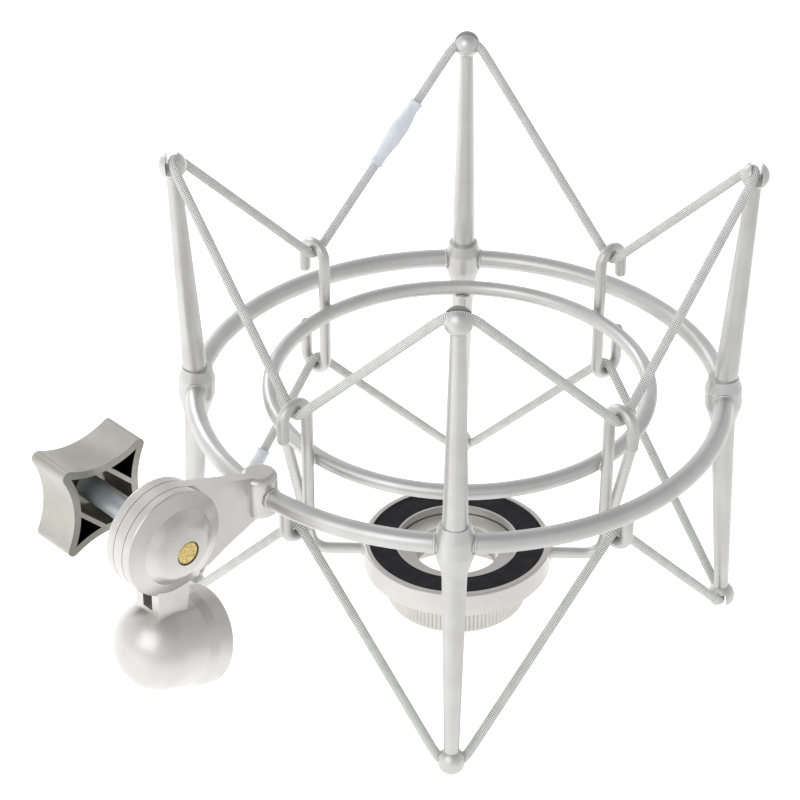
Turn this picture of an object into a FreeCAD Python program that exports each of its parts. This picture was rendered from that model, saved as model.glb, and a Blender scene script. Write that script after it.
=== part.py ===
import FreeCAD, Part
import math
import os
import Sketcher
from FreeCAD import Placement, Rotation, Vector

# Microphone suspension mount on a swivelling stand adaptor.
# Millimetres.  The origin is the centre of the outer ring, +Z is the ring's axis,
# and -Y is the side away from the back post.  Swivel pieces are drawn in the plane
# X = outwards, Z = up, and are then turned to the bracket's bearing.

X_AXIS = Vector(1, 0, 0)
Y_AXIS = Vector(0, 1, 0)
Z_AXIS = Vector(0, 0, 1)
ORIGIN = Vector(0, 0, 0)

DRIVING = {
    "ring_rad": 65.0,          # outer ring, to the middle of its tube
    "ring_tube": 2.4,
    "basket_rad": 46.8,        # inner ring, to the middle of its tube
    "basket_tube": 1.9,
    "basket_rise": 1.6,        # inner ring above the outer one
    "post_lean": 3.2,          # degrees outwards, up and down
    "post_reach": 61.1,        # ring to ball centre, along a post
    "post_root": 2.95,
    "post_neck": 1.8,
    "ball_rad": 3.4,
    "collar_rad": 4.6,
    "collar_top": 5.2,
    "collar_foot": 8.0,
    "collar_chamfer": 0.9,
    "waist_top": 2.2,          # the collar's full width lies between these heights
    "waist_foot": 2.6,
    "socket_floor": 2.6,
    "socket_gap": 0.03,
    "root_step": 2.0,          # straight foot of an upper post above its collar
    "slot_width": 2.7,
    "slot_margin": 1.0,        # the slot's cut runs this far past the ball
    "slot_crest": 1.1,         # corner of the slot's saddle above the ball's centre
    "slot_dip": 2.6,           # foot of the saddle's slopes below it
    "saddle_rad": 3.3,
    "cord_rad": 1.15,
    "cord_gap": 0.08,
    "cord_post_bend": 4.5,
    "cord_hook_bend": 2.7,
    "cord_post_rad": 70.3,     # corner of the cord's route beyond each ball
    "cord_top": 65.4,
    "cord_foot": 65.4,
    "cord_hook_rad": 53.6,
    "cord_hook_inset": 0.2,    # keeps the cord's corner off the hook's bends
    "sleeve_rad": 1.9,
    "sleeve_start": 0.40,      # along a span, from its hook
    "sleeve_end": 0.67,
    "wire_rad": 1.45,
    "hook_stem": 49.9,
    "hook_bend": 3.7,
    "hook_top": 15.35,         # centre of the upper bend
    "hook_foot": 14.15,        # centre of the lower bend, below the ring
    "hook_tip_top": 9.7,
    "hook_tip_foot": 5.0,
    "tip_round": 1.2,
    "arm_foot_rad": 36.6,
    "arm_drop": 49.0,
    "arm_bend": 4.5,
    "arm_bite": 0.4,           # how far a welded wire end sinks in
    "cup_rad": 24.0,
    "cup_top": 45.5,           # below the outer ring's plane, as are all these
    "cup_foot": 52.3,
    "cup_floor": 47.5,
    "cup_shelf": 50.4,
    "cup_bore": 15.4,
    "cup_neck": 13.4,
    "rim_round": 0.5,
    "foot_round": 0.9,
    "rim_wall": 1.5,
    "lip_wall": 0.5,
    "pad_drop": 0.4,
    "press_gap": 0.02,
    "sleeve_flange": 15.1,
    "sleeve_tube": 13.1,
    "thread_rad": 11.0,
    "sleeve_top": 48.2,
    "sleeve_shelf": 50.25,
    "sleeve_foot": 55.5,
    "grip_rad": 18.3,
    "grip_skirt": 16.5,
    "grip_top": 52.6,
    "grip_foot": 62.0,
    "bracket_bearing": 225.0,
    "hinge_rad": 93.5,
    "hinge_rise": 1.0,
    "plate_thick": 3.0,
    "plate_top": 13.0,         # the plate's outline, from the hinge
    "plate_nose": 2.4,
    "heel_nose": 3.0,
    "heel_drop": 13.0,
    "heel_reach": 11.5,
    "heel_slope": 17.0,
    "heel_waist": 10.4,
    "root_rise": 4.7,          # its two corners on the ring
    "root_drop": 5.2,
    "plate_disc": 13.2,
    "boss_rad": 4.4,
    "boss_height": 11.2,
    "boss_round": 1.6,
    "ear_gap": 0.15,
    "ear_rad": 13.2,
    "ear_thick": 2.8,
    "ear_edge": 2.2,           # the front ear is thinner at its edge
    "face_rise": 1.65,         # from there its face slopes up to the dome
    "dome_base": 9.5,
    "dome_height": 3.4,
    "dome_shoulder": 6.9,
    "dome_flat": 3.3,
    "shank_rad": 3.0,
    "running_gap": 0.08,
    "insert_rad": 2.8,
    "insert_start": 0.4,       # from the front ear's inner face
    "insert_sink": 0.1,
    "insert_cap": 1.5,
    "relief_gap": 0.25,        # dark ring round the insert's end
    "relief_depth": 1.3,
    "stud_rad": 1.95,
    "stud_length": 5.0,
    "stud_step": 0.3,
    "adaptor_swing": 4.5,      # degrees outwards that the adaptor hangs
    "neck_top": 10.0,          # widths of the neck, at the ears and at the bell
    "neck_foot": 6.8,
    "neck_depth": 8.4,
    "neck_start": 6.0,
    "bell_drop": 29.2,         # hinge to the centre of the rounded bell
    "bell_rad": 11.2,
    "bell_pitch": 10.5,        # degrees of its mouth below square to the neck
    "bell_step": 5.1,
    "bell_slope": 2.4,
    "bell_mouth": 12.0,
    "flange_rad": 12.0,
    "flange_round": 0.6,
    "stand_rad": 7.94,
    "stand_depth": 12.0,
    "heel_clear": 18.2,
    "knob_near": 21.0,         # distances behind the bracket's plane
    "knob_far": 33.0,
    "knob_corner": 10.1,
    "knob_round": 1.6,
    "knob_hollow": 20.85,      # radius of a concave side
    "knob_wall": 1.9,
    "knob_back": 1.8,
    "knob_inner_corner": 9.46,
    "rib_reach": 18.0,         # length of a diagonal wall before the star trims it
    "rib_sink": 0.5,
    "rib_offset": 6.1,
    "rib_thick": 1.1,
    "hub_rad": 4.3,
    "hub_length": 4.0,
    "hub_gap": 0.01,
}

POSTS = {"right": 0.0, "back": 90.0, "left": 180.0, "front": 270.0}
HOOKS = {"back_right": 45.0, "back_left": 135.0, "front_left": 225.0, "front_right": 315.0}


class Size:
    """A length with its spreadsheet expression, so one formula gives both."""

    def __init__(self, value, text):
        self.value = value
        self.text = text

    def combine(self, other, sign, value):
        text = other.text if isinstance(other, Size) else repr(float(other))
        return Size(value, "(%s %s %s)" % (self.text, sign, text))

    def __add__(self, other):
        return self.combine(other, "+", self.value + number(other))

    def __sub__(self, other):
        return self.combine(other, "-", self.value - number(other))

    def __mul__(self, other):
        return self.combine(other, "*", self.value * number(other))

    def __neg__(self):
        return Size(-self.value, "(-1 * %s)" % self.text)


def number(quantity):
    return quantity.value if isinstance(quantity, Size) else float(quantity)


def bind(target, name, quantity):
    """Sets a property from a size, and ties it to the sheet."""
    if isinstance(quantity, Size):
        target.setExpression(name, quantity.text)
    else:
        setattr(target, name, quantity)


def fill_sheet(doc):
    sheet = doc.addObject("Spreadsheet::Sheet", "Sizes")
    for row, (alias, value) in enumerate(DRIVING.items(), start=1):
        sheet.set("A%d" % row, alias)
        sheet.set("B%d" % row, repr(value))
        sheet.setAlias("B%d" % row, alias)
    doc.recompute()
    return {alias: Size(sheet.get(alias), "Sizes." + alias) for alias in DRIVING}


# ---------------------------------------------------------------- sketches

def origin_plane(body, role):
    return next(feature for feature in body.Origin.OriginFeatures if feature.Role == role)


def new_sketch(body, name, role, offset=0.0):
    sketch = body.newObject("Sketcher::SketchObject", name)
    sketch.AttachmentSupport = [(origin_plane(body, role), "")]
    sketch.MapMode = "FlatFace"
    sketch.AttachmentOffset = Placement(Vector(0, 0, offset), Rotation())
    return sketch


def pin_point(sketch, geometry, position, corner):
    """Holds one point of the sketch at a corner's two sizes."""
    for kind, quantity in zip(("DistanceX", "DistanceY"), corner):
        if number(quantity) == 0.0:
            other = "PointOnObject"
            axis = -2 if kind == "DistanceX" else -1
            sketch.addConstraint(Sketcher.Constraint(other, geometry, position, axis))
            continue
        index = sketch.addConstraint(
            Sketcher.Constraint(kind, -1, 1, geometry, position, number(quantity)))
        if isinstance(quantity, Size):
            sketch.setExpression("Constraints[%d]" % index, quantity.text)


def fix_radius(sketch, geometry, quantity):
    index = sketch.addConstraint(Sketcher.Constraint("Radius", geometry, number(quantity)))
    if isinstance(quantity, Size):
        sketch.setExpression("Constraints[%d]" % index, quantity.text)


def draw_circle(sketch, centre, radius):
    middle = Vector(number(centre[0]), number(centre[1]), 0)
    circle = sketch.addGeometry(Part.Circle(middle, Z_AXIS, number(radius)), False)
    pin_point(sketch, circle, 3, centre)
    fix_radius(sketch, circle, radius)


def bend_points(before, corner, after, radius):
    """Where a round corner of that radius leaves its two straight sides, and its centre."""
    to_before = (before - corner).normalize()
    to_after = (after - corner).normalize()
    half = to_before.getAngle(to_after) / 2
    back_off = radius / math.tan(half)
    middle = (to_before + to_after).normalize() * (radius / math.sin(half))
    return corner + to_before * back_off, corner + to_after * back_off, corner + middle


def draw_outline(sketch, corners, closed=True):
    """Straight sides between corners; a corner (x, y, radius) is rounded and tangent."""
    points = [Vector(number(c[0]), number(c[1]), 0) for c in corners]
    count = len(points)
    rounds = {}
    for index, corner in enumerate(corners):
        if len(corner) == 3:
            before = points[index - 1]
            after = points[(index + 1) % count]
            rounds[index] = bend_points(before, points[index], after, number(corner[2]))
    sides = []
    for index in range(count if closed else count - 1):
        following = (index + 1) % count
        start = rounds[index][1] if index in rounds else points[index]
        end = rounds[following][0] if following in rounds else points[following]
        sides.append(sketch.addGeometry(Part.LineSegment(start, end), False))
    for index, corner in enumerate(corners):
        into = sides[index - 1] if closed or index > 0 else None
        out = sides[index] if index < len(sides) else None
        if index in rounds:
            round_corner(sketch, into, out, rounds[index], points[index], corner)
        elif into is not None and out is not None:
            sketch.addConstraint(Sketcher.Constraint("Coincident", into, 2, out, 1))
            pin_point(sketch, out, 1, corner[:2])
        elif out is not None:
            pin_point(sketch, out, 1, corner[:2])
        else:
            pin_point(sketch, into, 2, corner[:2])


def round_corner(sketch, into, out, bend, point, corner):
    start, end, centre = bend
    radius = number(corner[2])
    first = math.atan2(start.y - centre.y, start.x - centre.x)
    last = math.atan2(end.y - centre.y, end.x - centre.x)
    turns_left = (start - centre).cross(end - centre).z > 0
    if not turns_left:
        first, last = last, first
    circle = Part.Circle(centre, Z_AXIS, radius)
    arc = sketch.addGeometry(Part.ArcOfCircle(circle, first, last), False)
    mark = sketch.addGeometry(Part.Point(point), True)
    arc_start, arc_end = (1, 2) if turns_left else (2, 1)
    sketch.addConstraint(Sketcher.Constraint("Tangent", into, 2, arc, arc_start))
    sketch.addConstraint(Sketcher.Constraint("Tangent", arc, arc_end, out, 1))
    sketch.addConstraint(Sketcher.Constraint("PointOnObject", mark, 1, into))
    sketch.addConstraint(Sketcher.Constraint("PointOnObject", mark, 1, out))
    pin_point(sketch, mark, 1, corner[:2])
    fix_radius(sketch, arc, corner[2])


# ---------------------------------------------------------------- features

def new_body(doc, name):
    body = doc.addObject("PartDesign::Body", name)
    body.Label = name
    return body


def revolve(body, corners, name="turned"):
    """Turns an outline (radius, height) a full turn about the body's Z axis."""
    sketch = new_sketch(body, name + "_outline", "XZ_Plane")
    draw_outline(sketch, corners)
    turned = body.newObject("PartDesign::Revolution", name)
    turned.Profile = sketch
    turned.ReferenceAxis = (sketch, ["V_Axis"])
    turned.Angle = 360.0
    return turned


def turned_body(doc, name, corners):
    body = new_body(doc, name)
    revolve(body, corners)
    return body


def ring_body(doc, name, centre_radius, height, tube_radius):
    body = new_body(doc, name)
    sketch = new_sketch(body, "section", "XZ_Plane")
    draw_circle(sketch, (centre_radius, height), tube_radius)
    ring = body.newObject("PartDesign::Revolution", "ring")
    ring.Profile = sketch
    ring.ReferenceAxis = (sketch, ["V_Axis"])
    ring.Angle = 360.0
    return body


def wire_body(doc, name, route, wire_radius, bearing, tip_round=None):
    """A round wire bent along a route in the upright plane at a bearing.

    With a tip size, both its cut ends are rounded over."""
    body = new_body(doc, name)
    path = new_sketch(body, "route", "XZ_Plane")
    draw_outline(path, route, closed=False)
    section = new_sketch(body, "section", "XY_Plane")
    draw_circle(section, (0.0, 0.0), wire_radius)
    section.AttachmentSupport = None
    section.MapMode = "Deactivated"
    start = Vector(number(route[0][0]), 0, number(route[0][1]))
    ahead = Vector(number(route[1][0]), 0, number(route[1][1])) - start
    section.Placement = Placement(start, Rotation(Z_AXIS, ahead))
    body.Document.recompute()
    pipe = body.newObject("PartDesign::AdditivePipe", "wire")
    pipe.Profile = section
    pipe.Spine = (path, ["Edge%d" % (edge + 1) for edge in range(len(path.Shape.Edges))])
    if tip_round is not None:
        round_tips(body, pipe, route, tip_round)
    body.Placement = Placement(ORIGIN, Rotation(Z_AXIS, bearing))
    return body


def round_tips(body, pipe, route, tip_round):
    """Rounds the rim of both end faces of a wire."""
    body.Document.recompute()
    ends = [Vector(number(corner[0]), 0, number(corner[1])) for corner in (route[0], route[-1])]
    rims = ["Edge%d" % (index + 1) for index, edge in enumerate(pipe.Shape.Edges)
            if any(edge.CenterOfMass.distanceToPoint(end) < 0.01 for end in ends)]
    tips = body.newObject("PartDesign::Fillet", "tips")
    tips.Base = (pipe, rims)
    bind(tips, "Radius", tip_round)


def cylinder(doc, name, radius, height, placement):
    shape = doc.addObject("Part::Cylinder", name)
    bind(shape, "Radius", radius)
    bind(shape, "Height", height)
    shape.Placement = placement
    return shape


def box(doc, name, length, width, height, placement):
    shape = doc.addObject("Part::Box", name)
    bind(shape, "Length", length)
    bind(shape, "Width", width)
    bind(shape, "Height", height)
    shape.Placement = placement
    return shape


def cut(doc, name, base, tool):
    result = doc.addObject("Part::Cut", name)
    result.Base = base
    result.Tool = tool
    result.Label = name
    return result


def fuse(doc, name, shapes):
    result = doc.addObject("Part::MultiFuse", name)
    result.Shapes = shapes
    result.Label = name
    return result


# ---------------------------------------------------------------- placements

def bearing_place(bearing):
    return Placement(ORIGIN, Rotation(Z_AXIS, bearing))


def post_place(size, bearing, lean):
    """Stands a post on the ring at a bearing, leaning in its own upright plane."""
    lean_place = Placement(Vector(size["ring_rad"].value, 0, 0), Rotation(Y_AXIS, lean))
    return bearing_place(bearing).multiply(lean_place)


def swivel_place(size, along=0.0):
    """The bracket's plane, at the clamp bolt's axis, with the bolt along local Z."""
    hinge = Vector(size["hinge_rad"].value, along, size["hinge_rise"].value)
    local = Placement(hinge, Rotation(X_AXIS, -90))
    return bearing_place(size["bracket_bearing"].value).multiply(local)


# ---------------------------------------------------------------- elastic cords

def cord_corners(size, side):
    """Corners of one closed cord, post and hook in turn; side is +1 above, -1 below."""
    post_height = size["cord_top"].value if side > 0 else -size["cord_foot"].value
    bend_height = size["hook_top"].value if side > 0 else size["hook_foot"].value
    hook_height = (bend_height - size["cord_hook_inset"].value) * side
    corners = []
    for turn in range(4):
        corners.append((turn * 90.0, size["cord_post_rad"].value, post_height,
                        size["cord_post_bend"].value))
        corners.append((turn * 90.0 + 45.0, size["cord_hook_rad"].value, hook_height,
                        size["cord_hook_bend"].value))
    return [(Rotation(Z_AXIS, bearing).multVec(Vector(reach, 0, height)), bend)
            for bearing, reach, height, bend in corners]


def cord_shape(corners, radius):
    """A closed cord: straight runs joined by arcs that are tangent to both."""
    points = [corner[0] for corner in corners]
    count = len(points)
    bends = [bend_points(points[i - 1], points[i], points[(i + 1) % count], corners[i][1])
             for i in range(count)]
    solids = []
    for index, (start, end, centre) in enumerate(bends):
        entering = (points[index] - points[index - 1]).normalize()
        leaving = (points[(index + 1) % count] - points[index]).normalize()
        section = Part.Face(Part.Wire(Part.makeCircle(radius, start, entering)))
        turn = math.degrees(entering.getAngle(leaving))
        solids.append(section.revolve(centre, entering.cross(leaving), turn))
        run = bends[(index + 1) % count][0] - end
        solids.append(Part.makeCylinder(radius, run.Length, end, run))
    return solids[0].fuse(solids[1:]).removeSplitter()


def elastic_cord(doc, size, name, side):
    cord = doc.addObject("Part::Feature", name)
    cord.Shape = cord_shape(cord_corners(size, side), size["cord_rad"].value)
    cord.Label = name
    return cord


def cord_groove(doc, size, name, side):
    groove = doc.addObject("Part::Feature", name)
    reach = size["cord_rad"].value + size["cord_gap"].value
    groove.Shape = cord_shape(cord_corners(size, side), reach)
    return groove


def cord_sleeve(doc, size, name, side, hook_turn, post_turn):
    """The shrink sleeve that joins the cord's two ends on one straight span."""
    corners = cord_corners(size, side)
    hook = corners[2 * hook_turn + 1][0]
    post = corners[2 * post_turn][0]
    span = post - hook
    start = hook + span * size["sleeve_start"].value
    run = Placement(start, Rotation(Z_AXIS, span))
    length = span.Length * (size["sleeve_end"].value - size["sleeve_start"].value)
    outside = cylinder(doc, name + "_outside", size["sleeve_rad"], length, run)
    inside = cylinder(doc, name + "_inside", size["cord_rad"], length, run)
    return cut(doc, name, outside, inside)


# ---------------------------------------------------------------- frame

def cut_slot(body, size, side):
    """The slot over a ball: open along the ring, with a rounded saddle for the cord."""
    height = size["post_reach"] * side
    half = size["ball_rad"] + size["slot_margin"]
    outer = height + half * side
    dip = height - size["slot_dip"] * side
    crest = height + size["slot_crest"] * side
    sketch = new_sketch(body, "slot_outline", "YZ_Plane")
    draw_outline(sketch, [(-half, outer), (half, outer), (half, dip),
                          (0.0, crest, size["saddle_rad"]), (-half, dip)])
    slot = body.newObject("PartDesign::Pocket", "slot")
    slot.Profile = sketch
    slot.SideType = "Symmetric"
    bind(slot, "Length", size["slot_width"])


def add_ball(body, size, side):
    sketch = new_sketch(body, "ball_outline", "XZ_Plane")
    height = size["post_reach"] * side
    middle = Vector(0, number(height), 0)
    radius = size["ball_rad"].value
    circle = Part.Circle(middle, Z_AXIS, radius)
    arc = sketch.addGeometry(Part.ArcOfCircle(circle, -math.pi / 2, math.pi / 2), False)
    chord = sketch.addGeometry(
        Part.LineSegment(middle + Vector(0, radius, 0), middle - Vector(0, radius, 0)), False)
    sketch.addConstraint(Sketcher.Constraint("Coincident", arc, 2, chord, 1))
    sketch.addConstraint(Sketcher.Constraint("Coincident", chord, 2, arc, 1))
    sketch.addConstraint(Sketcher.Constraint("PointOnObject", arc, 1, -2))
    sketch.addConstraint(Sketcher.Constraint("PointOnObject", arc, 2, -2))
    pin_point(sketch, arc, 3, (0.0, height))
    fix_radius(sketch, arc, size["ball_rad"])
    ball = body.newObject("PartDesign::Revolution", "ball")
    ball.Profile = sketch
    ball.ReferenceAxis = (sketch, ["V_Axis"])
    ball.Angle = 360.0


def upper_post(doc, size, place, bearing, groove):
    """A tapered rod that plugs into a collar, with a slotted ball for the cord."""
    blank = turned_body(doc, "upper_post_blank_" + place, [
        (0.0, size["socket_floor"]),
        (size["post_root"], size["socket_floor"]),
        (size["post_root"], size["collar_top"] + size["root_step"]),
        (size["post_neck"], size["post_reach"] - size["ball_rad"]),
        (size["post_neck"], size["post_reach"]),
        (0.0, size["post_reach"])])
    add_ball(blank, size, 1.0)
    cut_slot(blank, size, 1.0)
    blank.Placement = post_place(size, bearing, size["post_lean"].value)
    return cut(doc, "upper_post_" + place, blank, groove)


def lower_post(doc, size, place, bearing, groove, ring_bore):
    """The collar on the ring and the lower rod are one casting."""
    root = size["post_root"]
    blank = turned_body(doc, "lower_post_blank_" + place, [
        (0.0, size["collar_top"]),
        (size["collar_rad"] - size["collar_chamfer"], size["collar_top"]),
        (size["collar_rad"], size["waist_top"], 3.0),
        (size["collar_rad"], -size["waist_foot"], 5.0),
        (root, -size["collar_foot"], 8.0),
        (size["post_neck"], size["ball_rad"] - size["post_reach"]),
        (size["post_neck"], -size["post_reach"]),
        (0.0, -size["post_reach"])])
    add_ball(blank, size, -1.0)
    cut_slot(blank, size, -1.0)
    blank.Placement = post_place(size, bearing, -size["post_lean"].value)
    socket = cylinder(doc, "socket_" + place, root + size["socket_gap"], 10.0,
                      post_place(size, bearing, size["post_lean"].value))
    socket.Placement = socket.Placement.multiply(
        Placement(Vector(0, 0, size["socket_floor"].value), Rotation()))
    tools = fuse(doc, "lower_post_tools_" + place, [ring_bore, socket, groove])
    return cut(doc, "lower_post_" + place, blank, tools)


def ring_bore_tool(doc, size):
    bore = doc.addObject("Part::Torus", "ring_bore")
    bind(bore, "Radius1", size["ring_rad"])
    bind(bore, "Radius2", size["ring_tube"] + size["socket_gap"])
    return bore


def swivel_bracket(doc, size, ring_bore):
    """A tapered plate from a boss on the ring to the clamp's friction disc."""
    rim = size["ring_rad"]
    hinge = size["hinge_rad"]
    rise = size["hinge_rise"]
    plate = new_body(doc, "bracket_plate")
    sketch = new_sketch(plate, "plate_outline", "XZ_Plane")
    heel = rise - size["heel_drop"]
    draw_outline(sketch, [(rim, size["root_rise"]),
                          (hinge - size["plate_nose"], rise + size["plate_top"]),
                          (hinge, rise + size["plate_top"] * 0.5),
                          (hinge - size["heel_nose"], heel),
                          (hinge - size["heel_reach"], heel, 2.0),
                          (hinge - size["heel_slope"], rise - size["heel_waist"], 3.0),
                          (rim, -size["root_drop"])])
    web = plate.newObject("PartDesign::Pad", "web")
    web.Profile = sketch
    web.SideType = "Symmetric"
    bind(web, "Length", size["plate_thick"])
    plate.Placement = bearing_place(size["bracket_bearing"].value)
    half = size["plate_thick"] * 0.5
    disc = turned_body(doc, "bracket_disc", [(0.0, -half), (size["plate_disc"], -half),
                                             (size["plate_disc"], half), (0.0, half)])
    disc.Placement = swivel_place(size)
    foot = size["boss_height"] * -0.5
    top = size["boss_height"] * 0.5
    rounding = size["boss_round"]
    boss = turned_body(doc, "bracket_boss", [(0.0, foot), (size["boss_rad"], foot, rounding),
                                             (size["boss_rad"], top, rounding), (0.0, top)])
    boss.Placement = bearing_place(size["bracket_bearing"].value).multiply(
        Placement(Vector(rim.value, 0, 0), Rotation()))
    bolt_way = cylinder(doc, "bracket_bolt_way", size["shank_rad"] + size["running_gap"],
                        size["plate_thick"] * 2.0,
                        swivel_place(size, -size["plate_thick"].value))
    solid = fuse(doc, "bracket_solid", [plate, disc, boss])
    tools = fuse(doc, "bracket_tools", [ring_bore, bolt_way])
    return cut(doc, "swivel_bracket", solid, tools)


def build_frame(doc, size):
    ring_bore = ring_bore_tool(doc, size)
    above = cord_groove(doc, size, "groove_above", 1)
    below = cord_groove(doc, size, "groove_below", -1)
    nodes = [ring_body(doc, "outer_ring", size["ring_rad"], 0.0, size["ring_tube"])]
    nodes.append(swivel_bracket(doc, size, ring_bore))
    for place, bearing in POSTS.items():
        nodes.append(upper_post(doc, size, place, bearing, above))
        nodes.append(lower_post(doc, size, place, bearing, below, ring_bore))
    nodes.append(elastic_cord(doc, size, "upper_cord", 1))
    nodes.append(elastic_cord(doc, size, "lower_cord", -1))
    nodes.append(cord_sleeve(doc, size, "upper_cord_sleeve", 1, 1, 1))
    nodes.append(cord_sleeve(doc, size, "lower_cord_sleeve", -1, 1, 2))
    return nodes


# ---------------------------------------------------------------- basket

def cord_hook(doc, size, place, bearing):
    bend = size["hook_bend"] - 0.002  # a hair of straight wire stays between two bends
    stem = size["hook_stem"]
    tip = stem + size["hook_bend"] * 2.0
    top = size["hook_top"] + size["hook_bend"]
    foot = -(size["hook_foot"] + size["hook_bend"])
    return wire_body(doc, "hook_" + place, [
        (tip, size["hook_tip_top"]),
        (tip, top, bend),
        (stem, top, bend),
        (stem, foot, bend),
        (tip, foot, bend),
        (tip, -size["hook_tip_foot"])], size["wire_rad"], bearing, size["tip_round"])


def basket_arm(doc, size, place, bearing):
    top = size["basket_rise"] - size["basket_tube"] + size["arm_bite"]
    return wire_body(doc, "arm_" + place, [
        (size["basket_rad"] - size["arm_bite"], top),
        (size["arm_foot_rad"], -size["arm_drop"], size["arm_bend"]),
        (size["cup_rad"] - size["arm_bite"], -size["arm_drop"])], size["wire_rad"], bearing)


def base_cup(doc, size):
    """A shallow cup: a rim and a lip stand either side of the pad's channel."""
    outer = size["cup_rad"]
    channel = outer - size["rim_wall"]
    lip = size["cup_bore"] + size["lip_wall"]
    return turned_body(doc, "base_cup", [
        (channel, -size["cup_floor"]),
        (channel, -size["cup_top"]),
        (outer, -size["cup_top"], size["rim_round"]),
        (outer, -size["cup_foot"], size["foot_round"]),
        (size["cup_neck"], -size["cup_foot"]),
        (size["cup_neck"], -size["cup_shelf"]),
        (size["cup_bore"], -size["cup_shelf"]),
        (size["cup_bore"], -(size["cup_top"] + size["pad_drop"])),
        (lip, -(size["cup_top"] + size["pad_drop"])),
        (lip, -size["cup_floor"])])


def base_pad(doc, size):
    inner = size["cup_bore"] + size["lip_wall"] + size["press_gap"]
    outer = size["cup_rad"] - size["rim_wall"] - size["press_gap"]
    top = -(size["cup_top"] + size["pad_drop"])
    return turned_body(doc, "base_pad", [
        (inner, -size["cup_floor"]), (outer, -size["cup_floor"]), (outer, top), (inner, top)])


def build_basket(doc, size):
    nodes = [ring_body(doc, "inner_ring", size["basket_rad"], size["basket_rise"],
                       size["basket_tube"])]
    nodes += [cord_hook(doc, size, place, bearing) for place, bearing in HOOKS.items()]
    nodes += [basket_arm(doc, size, place, bearing) for place, bearing in POSTS.items()]
    return nodes + [base_cup(doc, size), base_pad(doc, size)]


# ---------------------------------------------------------------- microphone nut

def build_nut(doc, size):
    """A threaded sleeve trapped in the cup by the knurled grip below it."""
    bore = size["thread_rad"]
    sleeve = turned_body(doc, "thread_sleeve", [
        (bore, -size["sleeve_top"]),
        (size["sleeve_flange"], -size["sleeve_top"]),
        (size["sleeve_flange"], -size["sleeve_shelf"]),
        (size["sleeve_tube"], -size["sleeve_shelf"]),
        (size["sleeve_tube"], -size["sleeve_foot"]),
        (bore, -size["sleeve_foot"])])
    seat = size["sleeve_tube"] + size["press_gap"]
    grip = turned_body(doc, "knurled_grip", [
        (seat, -size["grip_top"]),
        (size["grip_rad"], -size["grip_top"], size["rim_round"]),
        (size["grip_rad"], -size["grip_foot"], size["rim_round"]),
        (size["grip_skirt"], -size["grip_foot"]),
        (size["grip_skirt"], -size["sleeve_foot"]),
        (seat, -size["sleeve_foot"])])
    return [sleeve, grip]


# ---------------------------------------------------------------- stand adaptor

def adaptor_place(size):
    """The adaptor's upright frame at the hinge; it hangs a few degrees outwards."""
    hinge = Placement(Vector(size["hinge_rad"].value, 0, size["hinge_rise"].value),
                      Rotation(Y_AXIS, -size["adaptor_swing"].value))
    return bearing_place(size["bracket_bearing"].value).multiply(hinge)


def bell_place(size):
    """The bell's own frame: Z leaves through its threaded mouth."""
    local = Placement(Vector(0, 0, -size["bell_drop"].value),
                      Rotation(Y_AXIS, -90.0 - size["bell_pitch"].value))
    return adaptor_place(size).multiply(local)


def bell_blank(doc, size):
    """The rounded back is the ball; the turned part is the barrel and its flange."""
    barrel = size["bell_rad"]
    body = turned_body(doc, "bell_barrel", [
        (0.0, 0.0), (barrel, 0.0), (barrel, size["bell_step"], 0.3),
        (size["flange_rad"], size["bell_step"] + size["bell_slope"], 0.4),
        (size["flange_rad"], size["bell_mouth"], size["flange_round"]),
        (0.0, size["bell_mouth"])])
    body.Placement = bell_place(size)
    ball = doc.addObject("Part::Sphere", "bell_ball")
    bind(ball, "Radius", barrel)
    ball.Placement = bell_place(size)
    return [body, ball]


def dome_top(size):
    """How far the dome's flat top stands in front of the bracket's middle plane."""
    return size["plate_thick"] * 0.5 + size["ear_gap"] + size["ear_edge"] \
        + size["face_rise"] + size["dome_height"]


def front_ear(doc, size):
    """A round ear whose face slopes up to a flat-topped dome over the insert."""
    top = dome_top(size)
    ear = turned_body(doc, "front_ear", [
        (0.0, size["plate_thick"] * 0.5 + size["ear_gap"]),
        (size["ear_rad"], size["plate_thick"] * 0.5 + size["ear_gap"]),
        (size["ear_rad"], top - size["dome_height"] - size["face_rise"], 0.5),
        (size["dome_base"], top - size["dome_height"]),
        (size["dome_shoulder"], top - 0.7, 5.0),
        (size["dome_flat"], top),
        (0.0, top)])
    ear.Placement = swivel_place(size)
    return ear


def rear_ear(doc, size):
    inner = -(size["plate_thick"] * 0.5 + size["ear_gap"])
    ear = turned_body(doc, "rear_ear", [
        (0.0, inner), (size["ear_rad"], inner),
        (size["ear_rad"], inner - size["ear_thick"], 0.7), (0.0, inner - size["ear_thick"])])
    ear.Placement = swivel_place(size)
    return ear


def neck_blank(doc, size):
    """A tapered block from the ears to the bell, before the slot parts it in two."""
    body = new_body(doc, "adaptor_neck")
    sketch = new_sketch(body, "neck_outline", "XZ_Plane")
    top = size["neck_top"] * 0.5
    foot = size["neck_foot"] * 0.5
    draw_outline(sketch, [(-top, -size["neck_start"]), (-foot, -size["bell_drop"]),
                          (foot, -size["bell_drop"]), (top, -size["neck_start"])])
    block = body.newObject("PartDesign::Pad", "block")
    block.Profile = sketch
    block.SideType = "Symmetric"
    bind(block, "Length", size["neck_depth"])
    body.Placement = adaptor_place(size)
    return body


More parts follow.
